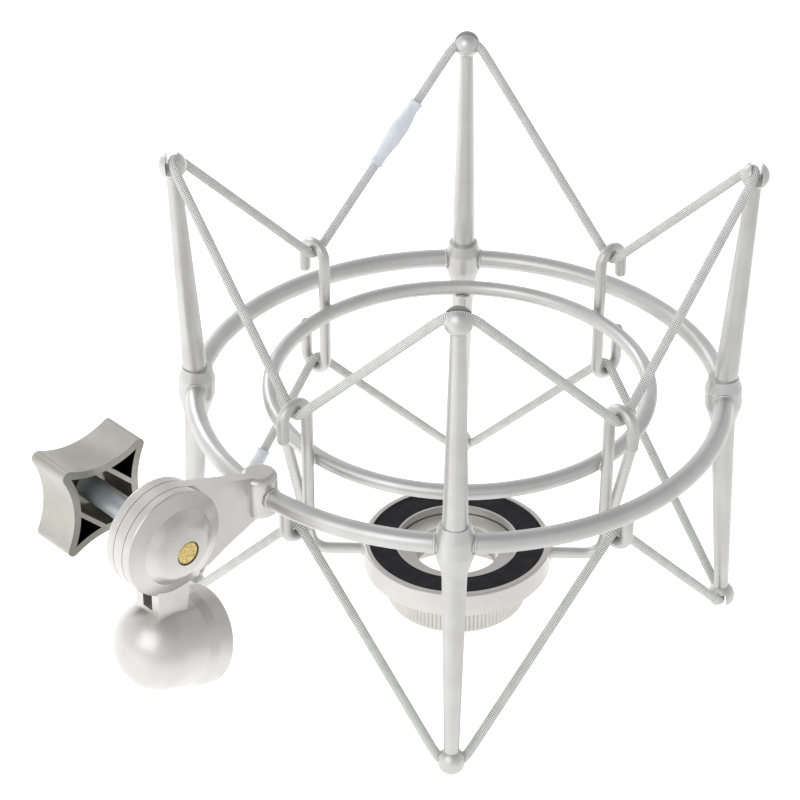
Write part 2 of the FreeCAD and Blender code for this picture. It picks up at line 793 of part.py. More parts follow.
def stand_adaptor(doc, size):
    """Two ears, their necks and a bell with the stand's thread, cast in one."""
    blank = fuse(doc, "adaptor_blank", bell_blank(doc, size)
                 + [front_ear(doc, size), rear_ear(doc, size), neck_blank(doc, size)])
    gap = size["plate_thick"] + size["ear_gap"] * 2.0
    slot = cylinder(doc, "adaptor_slot", size["heel_clear"], gap,
                    swivel_place(size, -number(gap) / 2))
    rear = size["plate_thick"] + size["ear_thick"]
    bolt_way = cylinder(doc, "adaptor_bolt_way", size["shank_rad"] + size["running_gap"], rear,
                        swivel_place(size, -number(rear)))
    top = dome_top(size)
    insert_way = cylinder(doc, "adaptor_insert_way", size["insert_rad"] + size["press_gap"],
                          top + size["insert_cap"], swivel_place(size))
    relief = cylinder(doc, "adaptor_insert_relief", size["insert_rad"] + size["relief_gap"],
                      size["relief_depth"] * 2.0,
                      swivel_place(size, number(top) - size["relief_depth"].value))
    bore = cylinder(doc, "adaptor_bore", size["stand_rad"], size["stand_depth"] * 1.5,
                    bell_place(size).multiply(Placement(Vector(
                        0, 0, size["bell_mouth"].value - size["stand_depth"].value),
                        Rotation())))
    tools = fuse(doc, "adaptor_tools", [slot, bolt_way, insert_way, relief, bore])
    return cut(doc, "stand_adaptor", blank, tools)


def bolt_insert(doc, size):
    """The blind threaded insert in the front ear."""
    inner = size["plate_thick"] * 0.5 + size["ear_gap"] + size["insert_start"]
    outer = dome_top(size) - size["insert_sink"]
    floor = outer - size["insert_cap"]
    thread = size["stud_rad"] + size["running_gap"]
    insert = turned_body(doc, "bolt_insert", [
        (thread, inner), (size["insert_rad"], inner), (size["insert_rad"], outer, 0.4),
        (0.0, outer), (0.0, floor), (thread, floor)])
    insert.Placement = swivel_place(size)
    return insert


# ---------------------------------------------------------------- clamp knob

def clamp_bolt(doc, size):
    """A plain shank from the knob, stepped down to a stud at its end."""
    head = size["knob_back"] - size["knob_far"]
    shoulder = size["plate_thick"] * 0.5
    end = shoulder + size["stud_length"]
    bolt = turned_body(doc, "clamp_bolt", [
        (0.0, head), (size["shank_rad"], head), (size["shank_rad"], shoulder),
        (size["stud_rad"], shoulder + size["stud_step"]), (size["stud_rad"], end), (0.0, end)])
    bolt.Placement = swivel_place(size)
    return bolt


def quarter_signs(quarter):
    """Which way a corner in that quarter lies along X and Y."""
    return (1, -1, -1, 1)[quarter], (1, 1, -1, -1)[quarter]


def hollow_centre(size):
    """How far out the centre of a hollow side lies, so that it meets both round corners."""
    corner = size["knob_corner"].value
    between = size["knob_hollow"].value + size["knob_round"].value
    return corner + math.sqrt(between ** 2 - corner ** 2), math.asin(corner / between)


def star_outline(sketch, size):
    """Four round corners joined by four hollow sides, all tangent."""
    corner = size["knob_corner"]
    far, lean = hollow_centre(size)
    rounds = []
    hollows = []
    for quarter in range(4):
        turn = math.radians(90.0 * quarter)
        across, up = quarter_signs(quarter)
        middle = Vector(corner.value * across, corner.value * up, 0)
        circle = Part.Circle(middle, Z_AXIS, size["knob_round"].value)
        arc = Part.ArcOfCircle(circle, turn - lean, turn + math.pi / 2 + lean)
        rounds.append(sketch.addGeometry(arc, False))
        middle = Vector(-far * math.sin(turn), far * math.cos(turn), 0)
        circle = Part.Circle(middle, Z_AXIS, size["knob_hollow"].value)
        inwards = turn + 1.5 * math.pi
        arc = Part.ArcOfCircle(circle, inwards - lean, inwards + lean)
        hollows.append(sketch.addGeometry(arc, False))
    for quarter in range(4):
        across, up = quarter_signs(quarter)
        following = (quarter + 1) % 4
        sketch.addConstraint(
            Sketcher.Constraint("Tangent", rounds[quarter], 2, hollows[quarter], 2))
        sketch.addConstraint(
            Sketcher.Constraint("Tangent", hollows[quarter], 1, rounds[following], 1))
        pin_point(sketch, rounds[quarter], 3, (corner * across, corner * up))
        fix_radius(sketch, rounds[quarter], size["knob_round"])
        fix_radius(sketch, hollows[quarter], size["knob_hollow"])


def cavity_outline(sketch, size):
    """The hollow sides moved in by the wall, so that they meet in sharp corners."""
    corner = size["knob_inner_corner"]
    far, _lean = hollow_centre(size)
    radius = size["knob_hollow"] + size["knob_wall"]
    spread = math.atan2(corner.value, far - corner.value)
    arcs = []
    for quarter in range(4):
        turn = math.radians(90.0 * quarter)
        middle = Vector(-far * math.sin(turn), far * math.cos(turn), 0)
        inwards = turn + 1.5 * math.pi
        circle = Part.Circle(middle, Z_AXIS, radius.value)
        arc = Part.ArcOfCircle(circle, inwards - spread, inwards + spread)
        arcs.append(sketch.addGeometry(arc, False))
    for quarter in range(4):
        across, up = quarter_signs(quarter)
        following = (quarter + 1) % 4
        sketch.addConstraint(
            Sketcher.Constraint("Coincident", arcs[quarter], 1, arcs[following], 2))
        pin_point(sketch, arcs[quarter], 2, (corner * across, corner * up))
        fix_radius(sketch, arcs[quarter], radius)


def star_block(doc, size, name):
    """The knob's outside as a solid: once for its shell, once to trim its inner walls."""
    body = new_body(doc, name)
    outline = new_sketch(body, "star", "XY_Plane", -size["knob_far"].value)
    star_outline(outline, size)
    pad = body.newObject("PartDesign::Pad", "block")
    pad.Profile = outline
    bind(pad, "Length", size["knob_far"] - size["knob_near"])
    body.Placement = swivel_place(size)
    return body


def clamp_knob(doc, size):
    """A hollow four-cornered knob, open towards the clamp, with two inner walls."""
    shell = star_block(doc, size, "knob_shell")
    inside = new_sketch(shell, "cavity_outline", "XY_Plane", -size["knob_near"].value)
    cavity_outline(inside, size)
    pocket = shell.newObject("PartDesign::Pocket", "cavity")
    pocket.Profile = inside
    bind(pocket, "Length", size["knob_far"] - size["knob_near"] - size["knob_back"])
    back = -size["knob_far"].value
    reach = size["rib_reach"].value
    sink = size["rib_sink"].value
    walls = []
    for index, side in enumerate((-1, 1)):
        across = size["rib_offset"].value * side - size["rib_thick"].value / 2
        spot = Placement(ORIGIN, Rotation(Z_AXIS, -45.0)).multiply(
            Placement(Vector(-reach / 2, across, back + sink), Rotation()))
        walls.append(box(doc, "knob_wall_%d" % index, size["rib_reach"], size["rib_thick"],
                         size["knob_far"] - size["knob_near"] - size["rib_sink"],
                         swivel_place(size).multiply(spot)))
    ribs = doc.addObject("Part::Common", "knob_ribs")
    ribs.Base = fuse(doc, "knob_walls", walls)
    ribs.Tool = star_block(doc, size, "knob_trim")
    hub = cylinder(doc, "knob_hub", size["hub_rad"], size["hub_length"] + size["knob_back"],
                   swivel_place(size, back))
    solid = fuse(doc, "knob_solid", [shell, ribs, hub])
    shank_way = cylinder(doc, "knob_shank_way", size["shank_rad"] + size["hub_gap"],
                         size["knob_far"], swivel_place(size, back + size["knob_back"].value))
    return cut(doc, "clamp_knob", solid, shank_way)


# ---------------------------------------------------------------- whole object

def check_and_export(doc, nodes):
    doc.recompute()
    faulty = [item.Name for item in doc.Objects
              if "Invalid" in item.State or "Error" in item.State]
    if faulty:
        raise RuntimeError("did not rebuild: " + ", ".join(faulty))
    os.makedirs("parts", exist_ok=True)
    for node in nodes:
        shape = node.Shape
        if shape.isNull() or not shape.isValid() or len(shape.Solids) != 1:
            raise RuntimeError("%s is not one sound solid" % node.Label)
        shape.exportStep("parts/%s.step" % node.Label)
        print("%-20s %9.1f mm3" % (node.Label, shape.Volume))


def build():
    doc = FreeCAD.newDocument("suspension_mount")
    size = fill_sheet(doc)
    nodes = build_frame(doc, size)
    nodes += build_basket(doc, size)
    nodes += build_nut(doc, size)
    nodes += [stand_adaptor(doc, size), bolt_insert(doc, size)]
    nodes += [clamp_knob(doc, size), clamp_bolt(doc, size)]
    check_and_export(doc, nodes)
    return doc


build()
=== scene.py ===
import math

import bmesh
import bpy
from mathutils import Matrix, Vector, noise


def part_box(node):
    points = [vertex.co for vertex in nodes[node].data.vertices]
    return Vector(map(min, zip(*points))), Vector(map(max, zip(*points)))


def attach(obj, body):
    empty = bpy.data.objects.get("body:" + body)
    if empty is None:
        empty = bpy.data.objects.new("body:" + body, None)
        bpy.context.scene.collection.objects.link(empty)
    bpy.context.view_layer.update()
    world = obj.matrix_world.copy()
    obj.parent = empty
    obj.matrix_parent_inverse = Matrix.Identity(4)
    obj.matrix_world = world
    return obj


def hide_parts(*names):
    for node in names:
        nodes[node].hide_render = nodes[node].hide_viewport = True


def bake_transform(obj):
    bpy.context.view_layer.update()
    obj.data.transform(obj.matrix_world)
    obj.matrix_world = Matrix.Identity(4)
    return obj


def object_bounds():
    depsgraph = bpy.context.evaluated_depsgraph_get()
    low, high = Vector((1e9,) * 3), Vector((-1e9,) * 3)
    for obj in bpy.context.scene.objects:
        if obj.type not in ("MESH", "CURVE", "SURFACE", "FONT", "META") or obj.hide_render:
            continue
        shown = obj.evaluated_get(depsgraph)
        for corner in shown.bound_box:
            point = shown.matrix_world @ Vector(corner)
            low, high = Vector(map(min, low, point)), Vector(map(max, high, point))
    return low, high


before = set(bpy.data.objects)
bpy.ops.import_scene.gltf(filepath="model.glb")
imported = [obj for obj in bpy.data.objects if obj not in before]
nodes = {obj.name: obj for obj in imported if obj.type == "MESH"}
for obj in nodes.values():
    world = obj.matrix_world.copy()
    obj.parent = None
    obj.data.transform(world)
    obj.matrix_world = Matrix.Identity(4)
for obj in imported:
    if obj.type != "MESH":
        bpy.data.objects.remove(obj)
cad_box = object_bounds()

# Microphone suspension mount: nickel-plated rings, posts and wire, elastic cords,
# a base cup with a knurled nut, and a clamp that holds a stand adaptor.
# Lengths are in metres; MM turns millimetres into them.

MM = 0.001
POSTS = {"right": 0.0, "back": 90.0, "left": 180.0, "front": 270.0}
HOOKS = {"back_right": 45.0, "back_left": 135.0, "front_left": 225.0, "front_right": 315.0}
UP = Vector((0, 0, 1))

RING_RAD = 65.0 * MM
RING_TUBE = 2.4 * MM
BASKET_RAD = 46.8 * MM
BASKET_RISE = 1.6 * MM
COLLAR_RAD = 4.55 * MM
WIRE_RAD = 1.45 * MM
HOOK_STEM = 49.9 * MM
ARM_TOP = Vector((46.4, 0, 0.1)) * MM
ARM_BEND = Vector((36.6, 0, -49.0)) * MM
CUP_RAD = 24.0 * MM

CORD_RAD = 1.15 * MM
CORD_SIDES = 24
CORD_POST_OUT = 70.3 * MM               # the cord's corner at each post's ball
CORD_POST_UP = 65.4 * MM
CORD_HOOK_OUT = 53.6 * MM               # and at each hook
CORD_HOOK_UP = 15.2 * MM
CORD_HOOK_DOWN = 13.9 * MM
POST_SWEEP = 18.4 * MM                  # where a run straightens, from its corner
HOOK_SWEEP = 6.4 * MM
SLEEVE_HOOK = 3                         # both sleeves hang from the back left hook's corner
SLEEVE_START = 0.40                     # shares of the run from that hook to the post
SLEEVE_END = 0.67

BRACKET_BEARING = 225.0
OUTWARDS = Vector((math.cos(math.radians(BRACKET_BEARING)),
                   math.sin(math.radians(BRACKET_BEARING)), 0))
BOLT_AXIS = OUTWARDS.cross(UP) * -1
HINGE = (OUTWARDS * 93.5 + UP) * MM
NECK_SWING = math.radians(4.5)          # outwards from straight down
BELL_DROP = 29.2 * MM
BELL_PITCH = math.radians(15.0)
KNOB_RIM = -21.0 * MM                   # the knob's open end, along the bolt from the hinge
KNOB_RIB = 6.7 * MM                     # from the bolt's axis past either inner wall

NUT_BORE = 11.0 * MM
NUT_PITCH = 0.75 * MM
STAND_BORE = 7.94 * MM                  # 5/8 inch, 27 threads per inch
STAND_PITCH = 0.94 * MM
STAND_INSET = 0.2 * MM                  # from the bell's middle to where its thread starts
STAND_LENGTH = 11.4 * MM

SHARE, FIRST, SECOND, MIXED = 0, 6, 7, 2    # a Mix node's sockets when it mixes colours


# ---------------------------------------------------------------- materials

def linear(code):
    """An sRGB hex colour as linear RGBA."""
    channels = [int(code[i:i + 2], 16) / 255 for i in (1, 3, 5)]
    return [c / 12.92 if c <= 0.04045 else ((c + 0.055) / 1.055) ** 2.4 for c in channels] + [1.0]


def fill(node, inputs):
    """Gives a node's sockets their values, or links from other nodes."""
    for name, value in inputs.items():
        if isinstance(value, bpy.types.NodeSocket):
            node.id_data.links.new(value, node.inputs[name])
        else:
            node.inputs[name].default_value = value


def add(tree, kind, inputs=None, **settings):
    """Adds a node: settings are its own properties, inputs are values or links."""
    made = tree.nodes.new(kind)
    for name, value in settings.items():
        setattr(made, name, value)
    fill(made, inputs or {})
    return made


def new_material(name):
    """An empty material with its shader and output joined."""
    material = bpy.data.materials.new(name)
    material.use_nodes = True
    tree = material.node_tree
    tree.nodes.clear()
    shader = add(tree, "ShaderNodeBsdfPrincipled")
    add(tree, "ShaderNodeOutputMaterial", {"Surface": shader.outputs["BSDF"]})
    return material, tree, shader


def per_size(millimetres):
    """The texture scale at which one cell of noise is that size."""
    return 1.0 / (millimetres * MM)


def blasted_nickel(name, bright, shade, grain_mm, grain_depth, roughness, metallic):
    """Nickel plate on a bead-blasted part: a fine even grain, soft highlights,
    and faint cloudy patches where the plate is thinner. The real grain is under
    0.1 mm and would not show, so grain_mm draws it coarser."""
    cloud_mm = 9.0
    material, tree, shader = new_material(name)
    place = add(tree, "ShaderNodeTexCoord").outputs["Object"]
    clouds = add(tree, "ShaderNodeTexNoise", {
        "Vector": place, "Scale": per_size(cloud_mm), "Detail": 3.0}).outputs["Fac"]
    grain = add(tree, "ShaderNodeTexNoise", {
        "Vector": place, "Scale": per_size(grain_mm), "Detail": 2.0}).outputs["Fac"]
    cloud_share = add(tree, "ShaderNodeMapRange", {
        "Value": clouds, "From Min": 0.35, "From Max": 0.65}).outputs["Result"]
    grain_share = add(tree, "ShaderNodeMapRange", {
        "Value": grain, "From Min": 0.3, "From Max": 0.7}).outputs["Result"]
    both = add(tree, "ShaderNodeMath", {0: cloud_share, 1: grain_share},
               operation="MULTIPLY").outputs[0]
    colour = add(tree, "ShaderNodeMix", {
        SHARE: both, FIRST: linear(bright), SECOND: linear(shade)},
        data_type="RGBA").outputs[MIXED]
    rough = add(tree, "ShaderNodeMapRange", {
        "Value": clouds, "From Min": 0.3, "From Max": 0.7,
        "To Min": roughness - 0.04, "To Max": roughness + 0.05}).outputs["Result"]
    bump = add(tree, "ShaderNodeBump", {
        "Height": grain, "Strength": 0.35, "Distance": grain_depth * MM}).outputs["Normal"]
    fill(shader, {"Base Color": colour, "Roughness": rough, "Metallic": metallic,
                  "Normal": bump})
    return material


def braided_cord():
    """Polyester yarn braided over a rubber core: two sets of crossing strands,
    with painted shade in the gaps between them, dull, with a little fuzz along its edge.
    The real yarn is about half as wide: these strands are as coarse as they need to be to show."""
    soil_mm = 4.0
    yarn_mm = 0.25
    strands = 8                          # each way round the cord
    cell = 0.5 * MM                      # along the cord from one crossing to the next
    material, tree, shader = new_material("braided_polyester_elastic")
    uv = add(tree, "ShaderNodeUVMap", uv_map="braid").outputs["UV"]
    split = add(tree, "ShaderNodeSeparateXYZ", {"Vector": uv})
    around = add(tree, "ShaderNodeMath", {0: split.outputs["X"], 1: strands * math.tau},
                 operation="MULTIPLY").outputs[0]
    along = add(tree, "ShaderNodeMath", {0: split.outputs["Y"], 1: math.tau / (2 * cell)},
                operation="MULTIPLY").outputs[0]
    waves = []
    for sign in ("ADD", "SUBTRACT"):
        phase = add(tree, "ShaderNodeMath", {0: around, 1: along}, operation=sign).outputs[0]
        waves.append(add(tree, "ShaderNodeMath", {0: phase}, operation="SINE").outputs[0])
    relief = add(tree, "ShaderNodeMath", {0: waves[0], 1: waves[1]},
                 operation="MULTIPLY").outputs[0]
    place = add(tree, "ShaderNodeTexCoord").outputs["Object"]
    soil = add(tree, "ShaderNodeTexNoise", {
        "Vector": place, "Scale": per_size(soil_mm), "Detail": 3.0}).outputs["Fac"]
    yarn = add(tree, "ShaderNodeTexNoise", {
        "Vector": place, "Scale": per_size(yarn_mm), "Detail": 2.0}).outputs["Fac"]
    soil_share = add(tree, "ShaderNodeMapRange", {
        "Value": soil, "From Min": 0.35, "From Max": 0.65}).outputs["Result"]
    thread = add(tree, "ShaderNodeMix", {
        SHARE: soil_share, FIRST: linear("#F6F7F5"), SECOND: linear("#E8E9E7")},
        data_type="RGBA").outputs[MIXED]
    thread_share = add(tree, "ShaderNodeMapRange", {
        "Value": relief, "From Min": -0.6, "From Max": 0.15}).outputs["Result"]
    # Painted shade: the gaps between the strands are painted dark grey, darkest where the relief
    # is lowest.
    colour = add(tree, "ShaderNodeMix", {
        SHARE: thread_share, FIRST: linear("#7E7E7C"), SECOND: thread},
        data_type="RGBA").outputs[MIXED]
    height = add(tree, "ShaderNodeMath", {0: yarn, 1: 0.5, 2: relief},
                 operation="MULTIPLY_ADD").outputs[0]
    bump = add(tree, "ShaderNodeBump", {
        "Height": height, "Strength": 0.8, "Distance": 0.12 * MM}).outputs["Normal"]
    fill(shader, {"Base Color": colour, "Roughness": 0.85, "Sheen Weight": 0.25,
                  "Sheen Roughness": 0.5, "Normal": bump})
    return material


def shrink_tube():
    """Heat-shrunk polyolefin: white with a cold tint, waxy, a little see-through."""
    wrinkle_mm = 1.6
    material, tree, shader = new_material("heat_shrunk_polyolefin")
    place = add(tree, "ShaderNodeTexCoord").outputs["Object"]
    wrinkle = add(tree, "ShaderNodeTexNoise", {
        "Vector": place, "Scale": per_size(wrinkle_mm), "Detail": 3.0}).outputs["Fac"]
    share = add(tree, "ShaderNodeMapRange", {
        "Value": wrinkle, "From Min": 0.3, "From Max": 0.7}).outputs["Result"]
    colour = add(tree, "ShaderNodeMix", {
        SHARE: share, FIRST: linear("#DEE2E8"), SECOND: linear("#CFD4DB")},
        data_type="RGBA").outputs[MIXED]
    bump = add(tree, "ShaderNodeBump", {
        "Height": wrinkle, "Strength": 0.4, "Distance": 0.15 * MM}).outputs["Normal"]
    fill(shader, {
        "Base Color": colour, "Roughness": 0.42, "IOR": 1.49, "Normal": bump,
        "Subsurface Weight": 0.3, "Subsurface Radius": (0.8, 0.9, 1.0),
        "Subsurface Scale": 1.0 * MM})
    return material


def moulded_rubber():
    """Closed-cell rubber, die-cut from sheet: near black and dull, with fine open pores."""
    pore_mm = 0.35
    dust_mm = 2.5
    material, tree, shader = new_material("closed_cell_rubber")
    place = add(tree, "ShaderNodeTexCoord").outputs["Object"]
    pores = add(tree, "ShaderNodeTexVoronoi", {
        "Vector": place, "Scale": per_size(pore_mm)}).outputs["Distance"]
    dust = add(tree, "ShaderNodeTexNoise", {
        "Vector": place, "Scale": per_size(dust_mm), "Detail": 4.0}).outputs["Fac"]
    share = add(tree, "ShaderNodeMapRange", {
        "Value": dust, "From Min": 0.45, "From Max": 0.75}).outputs["Result"]
    colour = add(tree, "ShaderNodeMix", {
        SHARE: share, FIRST: linear("#17171A"), SECOND: linear("#26262A")},
        data_type="RGBA").outputs[MIXED]
    bump = add(tree, "ShaderNodeBump", {
        "Height": pores, "Strength": 0.5, "Distance": 0.08 * MM}).outputs["Normal"]
    fill(shader, {"Base Color": colour, "Roughness": 0.8, "Specular IOR Level": 0.35,
                  "Normal": bump})
    return material


def filed_brass():
    """The brass insert's end, dressed flat after pressing: pale scratches and dull spots."""
    spot_mm = 0.5
    material, tree, shader = new_material("filed_brass")
    place = add(tree, "ShaderNodeTexCoord").outputs["Object"]
    spots = add(tree, "ShaderNodeTexNoise", {
        "Vector": place, "Scale": per_size(spot_mm), "Detail": 5.0}).outputs["Fac"]
    share = add(tree, "ShaderNodeMapRange", {
        "Value": spots, "From Min": 0.4, "From Max": 0.62}).outputs["Result"]
    colour = add(tree, "ShaderNodeMix", {
        SHARE: share, FIRST: linear("#E2CE8F"), SECOND: linear("#B9A25E")},
        data_type="RGBA").outputs[MIXED]
    rough = add(tree, "ShaderNodeMapRange", {
        "Value": spots, "From Min": 0.35, "From Max": 0.65,
        "To Min": 0.35, "To Max": 0.6}).outputs["Result"]
    bump = add(tree, "ShaderNodeBump", {
        "Height": spots, "Strength": 0.6, "Distance": 0.12 * MM}).outputs["Normal"]
    fill(shader, {"Base Color": colour, "Metallic": 0.8, "Roughness": rough,
                  "Normal": bump})
    return material


def paint_cavity_shade(material):
    """Painted shade in the two corners behind the knob's inner walls: the floor there and the
    sides that look towards the bolt are painted near black, for the shade that lies deep in them."""
    tree = material.node_tree
    shader = next(node for node in tree.nodes if node.type == "BSDF_PRINCIPLED")
    coordinates = add(tree, "ShaderNodeTexCoord")
    normal = coordinates.outputs["Normal"]
    from_hinge = add(tree, "ShaderNodeVectorMath", {
        0: coordinates.outputs["Object"], 1: HINGE}, operation="SUBTRACT").outputs[0]
    along, facing, reach, aslant = [
        add(tree, "ShaderNodeVectorMath", {0: first, 1: second},
            operation="DOT_PRODUCT").outputs["Value"]
        for first, second in ((from_hinge, BOLT_AXIS), (normal, BOLT_AXIS),
                              (from_hinge, normal), (from_hinge, (UP - OUTWARDS).normalized()))]
    axial_reach = add(tree, "ShaderNodeMath", {0: along, 1: facing},
                      operation="MULTIPLY").outputs[0]
    outward = add(tree, "ShaderNodeMath", {0: reach, 1: axial_reach},
                  operation="SUBTRACT").outputs[0]
    across = add(tree, "ShaderNodeMath", {0: aslant}, operation="ABSOLUTE").outputs[0]
    inner_side, floor_facing, floor_depth, corner = [
        add(tree, "ShaderNodeMapRange", {
            "Value": value, "From Min": start, "From Max": end,
            "To Min": before, "To Max": after}).outputs["Result"]
        for value, start, end, before, after in (
            (outward, -2.0 * MM, -1.0 * MM, 1.0, 0.0),
            (facing, 0.5, 0.9, 0.0, 1.0),
            (along, KNOB_RIM - 2.0 * MM, KNOB_RIM - 1.0 * MM, 1.0, 0.0),
            (across, KNOB_RIB - 0.1 * MM, KNOB_RIB, 0.0, 1.0))]
    floor = add(tree, "ShaderNodeMath", {0: floor_facing, 1: floor_depth},
                operation="MULTIPLY").outputs[0]
    painted_shade = add(tree, "ShaderNodeMath", {0: inner_side, 1: floor},
                   operation="MAXIMUM").outputs[0]
    share = add(tree, "ShaderNodeMath", {0: painted_shade, 1: corner},
                operation="MULTIPLY").outputs[0]
    plated = shader.inputs["Base Color"].links[0].from_socket
    # Painted shade: the corners' floor and inward sides are mixed towards near black.
    colour = add(tree, "ShaderNodeMix", {
        SHARE: share, FIRST: plated, SECOND: linear("#3A3A37")},
        data_type="RGBA").outputs[MIXED]
    fill(shader, {"Base Color": colour})


def turned_steel(name, bright, shade):
    """Lathe-turned steel: fine rings around the bolt's axis, a cool grey. The real
    tool marks are about 0.1 mm apart and are drawn coarser so that they show."""
    ring_mm = 0.3
    material, tree, shader = new_material(name)
    place = add(tree, "ShaderNodeTexCoord").outputs["Object"]
    along = add(tree, "ShaderNodeVectorMath", {0: place, 1: BOLT_AXIS},
                operation="DOT_PRODUCT").outputs["Value"]
    rings = add(tree, "ShaderNodeTexNoise", {
        "W": along, "Scale": per_size(ring_mm), "Detail": 3.0},
        noise_dimensions="1D").outputs["Fac"]
    colour = add(tree, "ShaderNodeMix", {
        SHARE: rings, FIRST: linear(bright), SECOND: linear(shade)},
        data_type="RGBA").outputs[MIXED]
    bump = add(tree, "ShaderNodeBump", {
        "Height": rings, "Strength": 0.3, "Distance": 0.04 * MM}).outputs["Normal"]
    fill(shader, {"Base Color": colour, "Metallic": 0.7, "Roughness": 0.4, "Normal": bump})
    return material


def pale_floor():
    """A lit white table top. It gives off less light towards the front right, so that
    round metal above it has a brighter and a darker flank."""
    material, tree, shader = new_material("lit_white_table")
    place = add(tree, "ShaderNodeTexCoord").outputs["Object"]
    across = add(tree, "ShaderNodeVectorMath", {0: place, 1: (1.0, -0.8, 0.0)},
                 operation="DOT_PRODUCT").outputs["Value"]
    glow = add(tree, "ShaderNodeMapRange", {
        "Value": across, "From Min": 0.0, "From Max": 0.24,
        "To Min": 0.80, "To Max": 0.22}).outputs["Result"]
    colour = add(tree, "ShaderNodeMix", {
        SHARE: glow, FIRST: linear("#000000"), SECOND: linear("#FFFFFF")},
        data_type="RGBA").outputs[MIXED]
    fill(shader, {"Base Color": linear("#E8E8E7"), "Roughness": 0.9,
                  "Specular IOR Level": 0.1,
                  "Emission Color": colour, "Emission Strength": 1.0})
    return material


def paint(piece, material):
    piece.data.materials.clear()
    piece.data.materials.append(material)


# ---------------------------------------------------------------- building pieces

def finish_mesh(bm, name, smooth=True):
    """Turns a bmesh into a shown object whose place is in its mesh."""
    bmesh.ops.recalc_face_normals(bm, faces=bm.faces)
    for face in bm.faces:
        face.smooth = smooth
    mesh = bpy.data.meshes.new(name)
    bm.to_mesh(mesh)
    bm.free()
    piece = bpy.data.objects.new(name, mesh)
    bpy.context.scene.collection.objects.link(piece)
    return piece


def turn_to(axis, centre):
    """The placement that stands local Z along an axis at a point."""
    return Matrix.Translation(centre) @ UP.rotation_difference(axis).to_matrix().to_4x4()


def at_bearing(degrees, point):
    """A point turned about the mount's upright axis."""
    return Matrix.Rotation(math.radians(degrees), 3, "Z") @ Vector(point)


def hump(offset, reach):
    """A smooth hump: 1 in its middle and almost nothing two reaches away."""
    return math.exp(-(offset / reach) ** 2)


# ---------------------------------------------------------------- elastic cords

def hook_height(side):
    """How high the cord's corner in a hook is: side is 1 above the rings, -1 below."""
    return CORD_HOOK_UP if side > 0 else -CORD_HOOK_DOWN


def cord_corners(side):
    """The cord's corners from one post to the next over each hook, each with the
    length of the bend's arms."""
    corners = []
    for turn in range(4):
        bearing = 90.0 * turn
        post = at_bearing(bearing, (CORD_POST_OUT, 0, CORD_POST_UP * side))
        hook = at_bearing(bearing + 45.0, (CORD_HOOK_OUT, 0, hook_height(side)))
        corners.append((post, POST_SWEEP))
        corners.append((hook, HOOK_SWEEP))
    return corners


def cord_route(side, joint):
    """Control points of one cord. Its ends meet in the middle of the run before
    the corner whose number is joint."""
    corners = cord_corners(side)
    count = len(corners)
    meeting = corners[joint - 1][0].lerp(corners[joint][0], 0.5)
    route = [meeting]
    for step in range(count):
        corner, sweep = corners[(joint + step) % count]
        before = corners[(joint + step - 1) % count][0]
        after = corners[(joint + step + 1) % count][0]
        route.append(corner + (before - corner).normalized() * sweep)
        route.append(corner)
        route.append(corner + (after - corner).normalized() * sweep)
    return route + [meeting]


def tube_along(name, route):
    """The cord's round tube along a smooth spline, with one ring per spline point."""
    curve = bpy.data.curves.new(name, "CURVE")
    curve.dimensions = "3D"
    spline = curve.splines.new("NURBS")
    spline.points.add(len(route) - 1)
    for point, place in zip(spline.points, route):
        point.co = (*place, 1.0)
    spline.order_u = 3
    spline.use_endpoint_u = True
    curve.resolution_u = 10
    curve.bevel_depth = CORD_RAD
    curve.bevel_resolution = CORD_SIDES // 2 - 2
    curve.use_fill_caps = False
    bent = bpy.data.objects.new(name, curve)
    mesh = bpy.data.meshes.new_from_object(bent)
    bpy.data.objects.remove(bent)
    mesh.name = name
    piece = bpy.data.objects.new(name, mesh)
    bpy.context.scene.collection.objects.link(piece)
    for polygon in mesh.polygons:
        polygon.use_smooth = True
    return piece


def lay_braid(mesh):
    """UVs for the braid: turns around the cord, and metres along it."""
    rings = len(mesh.vertices) // CORD_SIDES
    middles = []
    for ring in range(rings):
        first = ring * CORD_SIDES
        corners = [mesh.vertices[first + side].co for side in range(CORD_SIDES)]
        middles.append(sum(corners, Vector()) / CORD_SIDES)
    length = [0.0]
    for here, there in zip(middles, middles[1:]):
        length.append(length[-1] + (there - here).length)
    layer = mesh.uv_layers.new(name="braid")
    for polygon in mesh.polygons:
        corners = [mesh.loops[loop].vertex_index for loop in polygon.loop_indices]
        turns = [corner % CORD_SIDES for corner in corners]
        wraps = max(turns) - min(turns) > CORD_SIDES // 2
        for loop, corner, turn in zip(polygon.loop_indices, corners, turns):
            around = turn + CORD_SIDES if wraps and turn < CORD_SIDES // 2 else turn
            layer.data[loop].uv = (around / CORD_SIDES, length[corner // CORD_SIDES])


def close_seam(mesh):
    """Joins the cord's first and last rings, which lie on each other."""
    bm = bmesh.new()
    bm.from_mesh(mesh)
    ends = [vert for vert in bm.verts if vert.is_boundary]
    bmesh.ops.remove_doubles(bm, verts=ends, dist=0.001 * MM)
    bm.to_mesh(mesh)
    bm.free()


